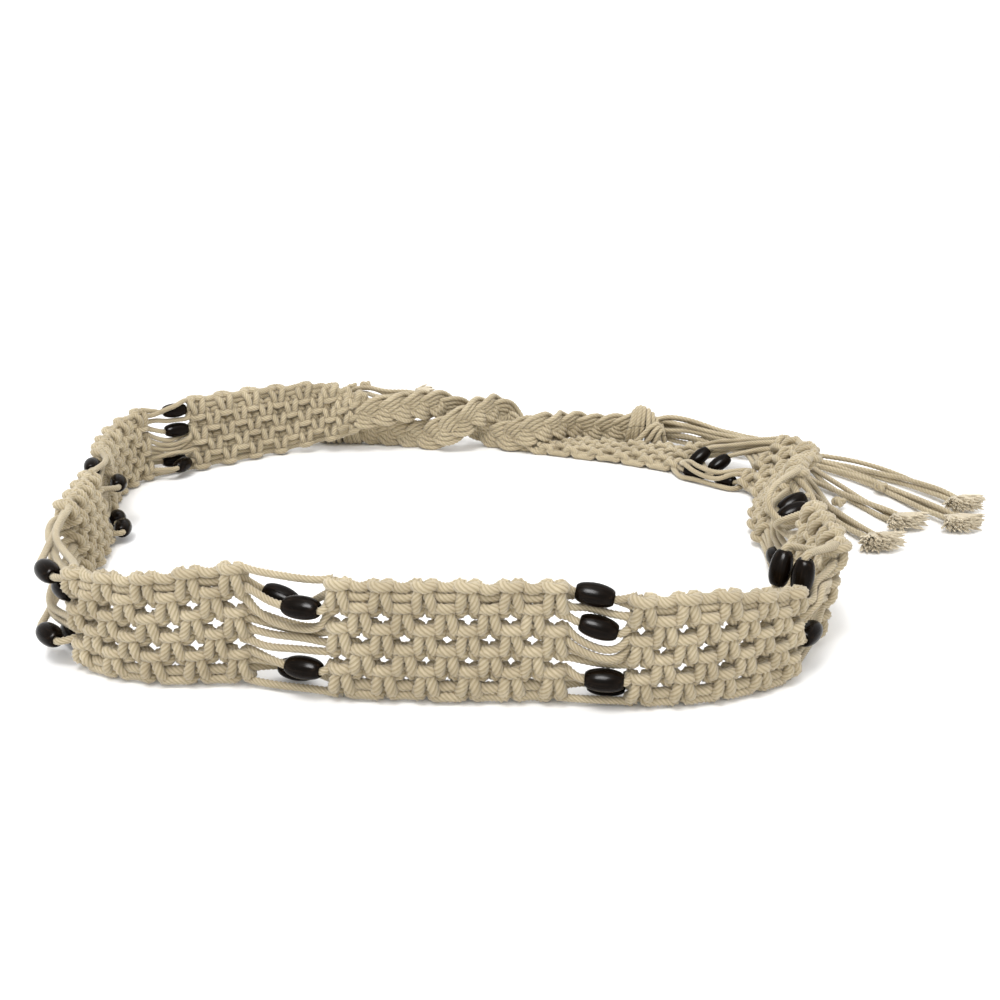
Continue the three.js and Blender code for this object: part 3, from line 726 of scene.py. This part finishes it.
def add_roughness(nodes, links, shader, value, span, rough):
    """Roughness that runs over the range rough while the value runs over the range span."""
    node = nodes.new("ShaderNodeMapRange")
    node.inputs["From Min"].default_value, node.inputs["From Max"].default_value = span
    node.inputs["To Min"].default_value, node.inputs["To Max"].default_value = rough
    links.new(value, node.inputs["Value"])
    links.new(node.outputs["Result"], shader.inputs["Roughness"])


def cotton_material():
    """Twisted natural cotton: painted shade between the plies, fine fibres along them, uneven ecru."""
    material, nodes, links, shader = new_material("cotton_cord")
    # Stretches the noise along the cord, so that it looks like fibres
    along_cord = nodes.new("ShaderNodeVectorMath")
    along_cord.operation = "MULTIPLY"
    along_cord.inputs[1].default_value = (9.0, 9.0, 0.9)
    links.new(attribute_node(nodes, "straight").outputs["Vector"], along_cord.inputs[0])
    fibre = noise_node(nodes, links, along_cord.outputs["Vector"], 1.0, 3.0).outputs["Fac"]
    place = nodes.new("ShaderNodeTexCoord").outputs["Object"]
    blotch = noise_node(nodes, links, place, 55.0, 4.0).outputs["Fac"]

    groove_shade_and_fray = nodes.new("ShaderNodeMath")
    groove_shade_and_fray.operation = "MAXIMUM"
    links.new(attribute_node(nodes, "crest").outputs["Fac"], groove_shade_and_fray.inputs[0])
    links.new(attribute_node(nodes, "frayed").outputs["Fac"], groove_shade_and_fray.inputs[1])
    # Painted shade: the tone is darkest in the grooves between the plies and lightest on the ply tops.
    # The frayed ends' hairs take the palest tone, partly the fluffed cotton's own paleness and partly
    # painted light against the shade of their thin hairs.
    tone = ramp(
        nodes,
        [
            (0.0, (0.35, 0.285, 0.175, 1)),
            (0.32, (0.50, 0.425, 0.285, 1)),
            (CREST_SHADE_STOP, (0.61, 0.535, 0.39, 1)),
            (1.0, (0.68, 0.61, 0.475, 1)),
        ],
    )
    links.new(groove_shade_and_fray.outputs["Value"], tone.inputs["Fac"])
    patch = ramp(nodes, [(0.3, (0.80, 0.77, 0.72, 1)), (0.7, (1.06, 1.05, 1.03, 1))])
    links.new(blotch, patch.inputs["Fac"])
    streak = ramp(nodes, [(0.3, (0.86, 0.85, 0.83, 1)), (0.68, (1.05, 1.05, 1.05, 1))])
    links.new(fibre, streak.inputs["Fac"])
    patchy = multiplied(nodes, links, tone.outputs["Color"], patch.outputs["Color"])
    color = multiplied(nodes, links, patchy, streak.outputs["Color"])
    links.new(color, shader.inputs["Base Color"])

    add_bump(nodes, links, shader, fibre, 0.5)
    add_roughness(nodes, links, shader, fibre, (0, 1), (0.82, 0.96))
    shader.inputs["Sheen Weight"].default_value = 0.25
    shader.inputs["Sheen Roughness"].default_value = 0.5
    shader.inputs["Specular IOR Level"].default_value = 0.25
    return material


def wood_material():
    """Near-black stained wood under a worn satin lacquer, with grain along the bead."""
    material, nodes, links, shader = new_material("dark_wood")
    place = nodes.new("ShaderNodeTexCoord").outputs["Object"]
    # Stretches the noise along the bead, so that it looks like grain
    along_bead = nodes.new("ShaderNodeMapping")
    along_bead.inputs["Scale"].default_value = (900.0, 900.0, 60.0)
    links.new(place, along_bead.inputs["Vector"])
    grain = noise_node(nodes, links, along_bead.outputs["Vector"], 1.0, 5.0).outputs["Fac"]
    wear = noise_node(nodes, links, place, 260.0, 3.0).outputs["Fac"]
    tone = ramp(
        nodes,
        [
            (0.3, (0.0015, 0.001, 0.0006, 1)),
            (0.6, (0.007, 0.0042, 0.0025, 1)),
            (0.85, (0.03, 0.018, 0.01, 1)),
        ],
    )
    links.new(grain, tone.inputs["Fac"])
    links.new(tone.outputs["Color"], shader.inputs["Base Color"])
    add_bump(nodes, links, shader, grain, 0.25)
    add_roughness(nodes, links, shader, wear, (0.3, 0.75), (0.16, 0.3))
    shader.inputs["Specular IOR Level"].default_value = 0.06
    return material


def floor_material():
    material, nodes, links, shader = new_material("studio_floor")
    noise = nodes.new("ShaderNodeTexNoise")
    noise.inputs["Scale"].default_value = 3.0
    tone = ramp(nodes, [(0.0, (0.93, 0.93, 0.93, 1)), (1.0, (0.95, 0.95, 0.95, 1))])
    links.new(noise.outputs["Fac"], tone.inputs["Fac"])
    links.new(tone.outputs["Color"], shader.inputs["Base Color"])
    shader.inputs["Roughness"].default_value = 0.9
    return material


# Camera, floor and light

CAMERA = {"height": 208.0, "down": 19.5, "lens": 36, "sensor": 36}  # down is in degrees


def make_camera():
    data = bpy.data.cameras.new("camera")
    data.lens = CAMERA["lens"]
    data.sensor_width = CAMERA["sensor"]
    camera = bpy.data.objects.new("camera", data)
    bpy.context.collection.objects.link(camera)
    camera.location = (np.array([0, 0, CAMERA["height"]]) - OUTLINE_MIDDLE) * MM
    camera.rotation_euler = (math.radians(90 - CAMERA["down"]), 0, 0)
    bpy.context.scene.camera = camera


def area_light(name, place, size, power):
    """A square light that faces the middle of the belt: place and size in metres, power in watts."""
    data = bpy.data.lights.new(name, "AREA")
    data.size = size
    data.energy = power
    light = bpy.data.objects.new(name, data)
    bpy.context.collection.objects.link(light)
    light.location = place
    light.rotation_euler = (-Vector(place)).to_track_quat("-Z", "Y").to_euler()
    return light


FLOOR_REACH = 30.0  # half of the floor's side, in metres


def make_stage():
    mesh = bpy.data.meshes.new("floor")
    corners = [(x * FLOOR_REACH, y * FLOOR_REACH, 0) for x, y in ((-1, -1), (1, -1), (1, 1), (-1, 1))]
    mesh.from_pydata(corners, [], [(0, 1, 2, 3)])
    mesh.materials.append(floor_material())
    floor = bpy.data.objects.new("floor", mesh)
    bpy.context.collection.objects.link(floor)
    world = bpy.data.worlds.new("studio")
    world.use_nodes = True
    background = world.node_tree.nodes["Background"]
    background.inputs["Color"].default_value = (1, 1, 1, 1)
    background.inputs["Strength"].default_value = 1.1
    bpy.context.scene.world = world
    bpy.context.scene.view_settings.view_transform = "Standard"
    area_light("key", (-0.3, -0.7, 1.6), 0.45, 12)
    area_light("top", (0.0, -0.1, 1.1), 0.8, 2.5)
    # Seen only in reflections, for the highlights on the beads
    gloss = area_light("gloss", (-0.25, -0.95, 1.15), 0.6, 70)
    gloss.visible_diffuse = False


def finish_piece(obj, slot, *nodes):
    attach(obj, "root")
    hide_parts(*nodes)


# The rounded lip round a bead's hole: how far out from the hole and in from the bead's end
BEAD_LIP = [(0, 1.2), (0.15, 0.35), (0.5, 0)]
BARREL = {"rings": 15, "inset": 0.2, "power": 0.62, "uneven": 0.012}


def bead_profile():
    """Radius and place along the bead, from inside the hole at one end to inside it at the other."""
    half = BEAD["length"] / 2
    lip = [(BEAD["hole"] + out, half - inside) for out, inside in BEAD_LIP]
    side = [(radius, -x) for radius, x in lip]
    for x in np.linspace(BARREL["inset"] - half, half - BARREL["inset"], BARREL["rings"]):
        bulge = (1 - (x / half) ** 2) ** BARREL["power"]
        side.append((BEAD["end"] + (BEAD["radius"] - BEAD["end"]) * bulge, x))
    return side + lip[::-1]


def bead_mesh(name, gap):
    """A drilled barrel, with its middle at the origin and its hole along Z."""
    sides = BEAD["sides"]
    angle = 2 * np.pi * np.arange(sides) / sides
    points = np.array([[(r * math.cos(a), r * math.sin(a), x) for a in angle] for r, x in bead_profile()])
    points[..., :2] *= 1 + BARREL["uneven"] * np.sin(3 * angle + gap)[None, :, None]
    index = np.arange(points.shape[0] * sides).reshape(-1, sides)
    after = np.roll(index, -1, axis=1)
    quads = np.stack([index, after, np.roll(after, -1, axis=0), np.roll(index, -1, axis=0)], axis=2)
    mesh = bpy.data.meshes.new(name)
    mesh.from_pydata((points.reshape(-1, 3) * MM).tolist(), [], quads.reshape(-1, 4).tolist())
    mesh.polygons.foreach_set("use_smooth", np.ones(len(mesh.polygons), bool))
    return mesh


def make_beads(material):
    numbers = {}
    for bead in BEADS:
        gap = bead[0]
        numbers[gap] = numbers.get(gap, 0) + 1
        name = f"{gap}_{numbers[gap]}"
        mesh = bead_mesh("wooden_bead_" + name, gap)
        mesh.materials.append(material)
        obj = bpy.data.objects.new("wooden_bead_" + name, mesh)
        bpy.context.collection.objects.link(obj)
        middle, axis = bead_axis(bead)
        obj.location = (middle - OUTLINE_MIDDLE) * MM
        obj.rotation_euler = Vector(axis).to_track_quat("Z", "Y").to_euler()
        finish_piece(obj, "dark_wood", "bead_" + name)


GATHERING = 0.8  # how much nearer the band's middle line its cords get on the way into a tie
TIE_OVERLAP = 7  # how far the net's cords go on into the tie


def into_tie(point, step, edge):
    """Where a cord of the net goes on to, past the edge of the first or the last panel."""
    middle = 0.5 * width_at(edge)
    return (point[0] + step, middle + GATHERING * (point[1] - middle), 0)


def cord_radii(panel, cord, count):
    tightness = TIGHTNESS.get(panel, 1)
    if cord > LAST_UPPER_CORD:
        tightness = LOWER_TIGHTNESS.get(panel, tightness)
    return np.full(count, CORD_RADIUS * tightness)


def make_panels(material):
    """Each panel's net with the cords that cross the gap after it."""
    routes = [panel_routes(panel) for panel in range(len(COLUMNS))]
    for cord in range(1, 13):
        first, last = routes[0][cord][0], routes[-1][cord][-1]
        routes[0][cord].insert(0, into_tie(first, -TIE_OVERLAP, 0))
        routes[-1][cord].append(into_tie(last, TIE_OVERLAP, last[0]))
    for panel, ways in enumerate(routes):
        bundle = Bundle()
        strands = {}
        if panel + 1 < len(routes):
            starts = {
                cord: strand_start(panel + 1, cord, ways[cord][-1], routes[panel + 1][cord][0])
                for cord in ways
            }
            strands = settled(starts, panel + 1)
        for cord, way in ways.items():
            line = on_band(way)
            radii = cord_radii(panel, cord, len(line))
            if cord in strands:
                loose = np.interp(np.linspace(0, 1, STRAND_POINTS), THINNING, THINNED)
                line = np.vstack([line[:-1], strands[cord]])
                radii = np.concatenate([radii[:-1], loose])
            bundle.cord(line, radii, NET_PLIES)
        obj = bundle.object(f"knotted_net_{panel + 1}", material)
        finish_piece(obj, "cotton_cord", f"woven_panel_{panel + 1}")


def tie_length(rows):
    line = catmull(np.array(rows, float)[:, :3], np.linspace(0, 1, 40 * len(rows)))
    return lengths_of(line)[-1]


def tie_frames(rows, distances):
    """Middle, across and side directions of a tie at distances along it."""
    rows = np.array(rows, float)
    t = np.linspace(0, 1, 40 * len(rows))
    far = lengths_of(catmull(rows[:, :3], t))
    within = np.clip(distances, 0, far[-1])
    at = np.interp(within, far, t)
    tangent = unit(direction(rows[:, :3], at, 1e-3))
    middle = catmull(rows[:, :3], at) + tangent * (distances - within)[:, None]
    roll = np.radians(np.interp(at, np.linspace(0, 1, len(rows)), rows[:, 3]))[:, None]
    side = unit(np.cross(tangent, [0, 0, 1.0]))
    across = np.cross(side, tangent)
    turned_across = across * np.cos(roll) + np.cross(tangent, across) * np.sin(roll)
    turned_side = side * np.cos(roll) + np.cross(tangent, side) * np.sin(roll)
    return middle, turned_across, turned_side


def make_tie(name, rows, material):
    """A plait of three strands, each of four cords side by side."""
    bundle = Bundle()
    wave = 3 * PLAIT["lobe"]
    s = np.arange(-PLAIT["inside"], tie_length(rows) + PLAIT["inside"] + 1, PLAIT["step"])
    for strand in range(3):
        phase = 2 * np.pi * s / wave + 2 * np.pi * strand / 3
        slope = np.arctan(PLAIT["swing"] * 2 * np.pi / wave * np.cos(phase))
        for place in range(4):
            offset = (place - 1.5) * PLAIT["spacing"]
            middle, across, side = tie_frames(rows, s - offset * np.sin(slope))
            up = PLAIT["swing"] * np.sin(phase) + offset * np.cos(slope)
            out = PLAIT["depth"] * np.sin(2 * phase) + PLAIT["lean"] * offset * np.cos(phase)
            line = middle + across * up[:, None] + side * out[:, None]
            bundle.cord(line + rng.normal(0, PLAIT["uneven"], line.shape), TIE_RADIUS)
    obj = bundle.object("plait_" + name, material)
    finish_piece(obj, "cotton_cord", "plaited_tie_" + name)


# The turns of an overhand knot, from the tie's side to the loose cords': how far along the foot
# and the head of each turn are from the knot's middle, and how high its head is
KNOT_TURNS = [
    (-11, -5.5, 12),
    (-8, -3.5, 14.2),
    (-4.5, -1, 14.8),
    (-0.5, 1.5, 14.2),
    (4, 4.2, 12.6),
    (8.5, 7, 10),
    (13, 10.5, 6.5),
    (17, 14, 2),
]
# Three cords that come over the front of the knot and fan out below: along, up and out
KNOT_FAN = [
    [(14, 0, 4), (10.5, 4.5, 8), (6, 3, 10.5), (0, -4, 11), (-5, -9, 10), (-9, -13, 6)],
    [(15, -2, 4), (12, 2.5, 8), (9, 0.5, 11), (5, -6, 11.5), (1, -10.5, 10), (-2, -14, 6)],
    [(16, -4, 4), (13.5, 0, 8), (11.5, -3, 11), (9.5, -8, 11), (7, -11.5, 9.5), (5, -14, 6)],
]
# How low the feet of a knot's turns are, how deep its thickest turn is, how much less deep every
# second turn is, and how unevenly they lie
KNOT = {"foot": 12.5, "depth": 8.6, "nested": 1.0, "uneven": 0.3}


def across_axes(way):
    """A horizontal way and the direction beside it."""
    way = unit(np.array(way, float))
    return way, unit(np.cross(way, [0, 0, 1.0]))


def knot_rings(bundle, middle, way):
    """A fat overhand knot: turns of cord that are gathered at the top and spread at the foot."""
    way, side = across_axes(way)
    up = np.cross(side, way)
    angle = np.linspace(0, 2 * np.pi, 34)
    rise = 0.5 + 0.5 * np.sin(angle)
    for n, (foot, head, above) in enumerate(KNOT_TURNS):
        depth = KNOT["depth"] * (0.7 + 0.3 * math.sin(math.pi * (0.15 + 0.1 * n)))
        depth -= KNOT["nested"] * (n % 2)
        height = (above + KNOT["foot"]) * rise**0.85 - KNOT["foot"]
        along = foot + (head - foot) * rise**1.3 + rng.normal(0, KNOT["uneven"])
        out = depth * np.cos(angle) * (1 - 0.3 * rise**3)
        line = np.array(middle) + way * along[:, None] + up * height[:, None] + side * out[:, None]
        bundle.cord(line, TIE_RADIUS)
    for fan in KNOT_FAN:
        along, height, out = np.array(fan, float).T[..., None]
        bundle.cord(np.array(middle) + way * along + up * height + side * out, TIE_RADIUS)


def small_knot(middle, way, size):
    """An overhand knot pulled tight in one cord, as a closed trefoil."""
    way, side = across_axes(way)
    t = np.linspace(0, 2 * np.pi, 28)
    x = (np.sin(t) + 2 * np.sin(2 * t)) / 3
    y = (np.cos(t) - 2 * np.cos(2 * t)) / 3
    z = -0.45 * np.sin(3 * t)
    return np.array(middle) + size * (
        way * x[:, None] + side * y[:, None] + np.array([0, 0, 1.0]) * z[:, None]
    )


# Numbers of a frayed end, with its spread in radians, the height of its lowest hairs above the
# floor, the heights of its hairs' roots and the rise of their tips as shares of their length
TUFT = {
    "hairs": 200, "length": 13.5, "spread": 0.7, "uneven": 0.16, "half_width": 4.4, "curl": 0.8,
    "floor": 0.5, "heights": (-1.8, 3.8), "rise": (-0.15, 0.3),
}


def tuft(bundle, end, way):
    """The frayed end of a lock: soft yarns that fan out like a brush and droop to the floor."""
    way, side = across_axes(way)
    up = np.array([0, 0, 1.0])
    share = np.linspace(0, 1, 6)[:, None]
    for _ in range(TUFT["hairs"]):
        place = rng.uniform(-1, 1)
        fan = TUFT["spread"] * place + rng.normal(0, TUFT["uneven"])
        start = end + side * TUFT["half_width"] * place + up * rng.uniform(*TUFT["heights"])
        reach = TUFT["length"] * rng.uniform(0.8, 1.0)
        waves = share * rng.uniform(0.6, 1.2) + rng.uniform(0, 1)
        curl = TUFT["curl"] * np.sin(2 * np.pi * waves) * share
        line = start + way * (reach * share * math.cos(fan))
        line = line + side * (reach * math.sin(fan) * share + curl)
        line = line + up * (reach * rng.uniform(*TUFT["rise"]) * share)
        line[:, 2] = np.maximum(line[:, 2], TUFT["floor"])
        bundle.hair(line)


# How far a lock's three cords stay from its middle: at its ends, on average, and how much that
# varies, the same as shares in width and height, and how far above the floor they are kept
LOCK = {"tight": 1.6, "loose": 2.6, "swell": 1.2, "wide": 1.3, "high": 0.9, "floor": 0.05}
LOCK_TURNS = (0.5, 1.1)  # how often the cords wind round the middle
END_KNOT = 2.1  # size of the small knots at the cords' ends
LOOSE_KNOT = 3.3  # size of those part of the way along


def lock_cord(line, side, t, place, turns):
    """One of the three cords that wind round the middle line of a lock."""
    angle = 2 * np.pi * (place / 3 + turns * t) + rng.normal(0, 0.3)
    waves = t * rng.uniform(1.2, 2.4)
    loose = LOCK["loose"] + LOCK["swell"] * np.sin(2 * np.pi * waves + rng.uniform(0, 6))
    opening = np.minimum(1, 4 * t) * np.minimum(1, 6 * (1 - t) + 0.3)
    away = LOCK["tight"] + (loose - LOCK["tight"]) * opening
    cord = line + side * (LOCK["wide"] * away * np.cos(angle))[:, None]
    cord[:, 2] += LOCK["high"] * away * np.sin(angle)
    cord[:, 2] = np.maximum(cord[:, 2], TASSEL_RADIUS + LOCK["floor"])
    return cord


def make_tassel(name, knot, way, locks, knots, material):
    """The knot at the end of a tie, its twelve loose cords in locks of three, and their frayed ends."""
    bundle = Bundle()
    knot_rings(bundle, knot, way)
    for lock in locks:
        centre = np.vstack([[knot], lock])
        t = np.linspace(0, 1, 6 * len(centre))
        line = catmull(centre, t)
        tangent = unit(np.gradient(line, axis=0))
        side = unit(np.cross(tangent, [0, 0, 1.0]))
        turns = rng.uniform(*LOCK_TURNS)
        for place in range(3):
            cord = lock_cord(line, side, t, place, turns)
            bundle.cord(cord[:-1], TASSEL_RADIUS)
            bundle.cord(small_knot(cord[-2], tangent[-2], END_KNOT), TASSEL_RADIUS)
        tuft(bundle, line[-2] - tangent[-1], tangent[-1])
    for place, heading in knots:
        bundle.cord(small_knot(place, heading, LOOSE_KNOT), TASSEL_RADIUS)
    obj = bundle.object("tassel_" + name, material)
    finish_piece(obj, "cotton_cord", "knotted_tassel_" + name)


make_camera()
make_stage()
cotton = cotton_material()
wood = wood_material()
make_tie("left", LEFT_TIE, cotton)
make_tie("right", RIGHT_TIE, cotton)
make_tassel("left", LEFT_KNOT, (1, -0.1, 0), LEFT_LOCKS, LEFT_SMALL_KNOTS, cotton)
make_tassel("right", RIGHT_KNOT, (-1, 0.1, 0), RIGHT_LOCKS, RIGHT_SMALL_KNOTS, cotton)
make_panels(cotton)
make_beads(wood)
